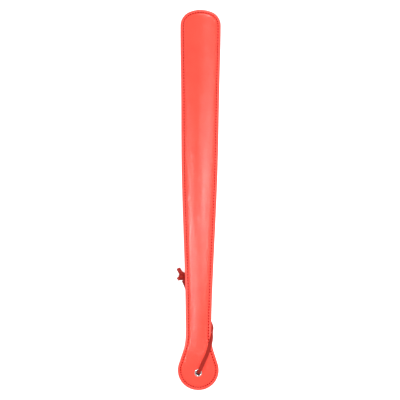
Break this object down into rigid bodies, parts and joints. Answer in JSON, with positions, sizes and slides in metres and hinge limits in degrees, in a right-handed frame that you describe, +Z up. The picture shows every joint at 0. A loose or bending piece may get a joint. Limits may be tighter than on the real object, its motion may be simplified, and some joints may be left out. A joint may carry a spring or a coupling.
{
  "type": "long shoehorn",
  "caption": "Long leather-covered shoehorn: curved blade and slim handle stitched along the edge, round hang tab with a metal eyelet, and a knotted leather lace.",
  "frame": {"origin": "on the table, under the middle of the shoehorn", "axes": "+Y along the shoehorn to the tip of the blade, +Z up through the crown of the curve, +X to the right seen from above"},
  "size_m": [0.0465, 0.42, 0.0177],
  "materials": {
    "cover_leather": "semi-gloss coral red, fine grain",
    "lining_leather": "smooth coral red",
    "spring_steel": "rolled, satin",
    "thread": "waxed thread, tone on tone",
    "nickel": "polished nickel plate",
    "lace_leather": "satin dark red"
  },
  "bodies": {
    "root": {"blade_core": "spring_steel", "front_leather": "cover_leather", "back_leather": "lining_leather", "needle_thread": "thread", "bobbin_thread": "thread", "eyelet": "nickel", "eyelet_washer": "nickel", "lace_front_strand": "lace_leather", "lace_back_strand": "lace_leather", "lace_knot": "lace_leather", "lace_upper_tail": "lace_leather", "lace_lower_tail": "lace_leather"}
  },
  "joints": []
}
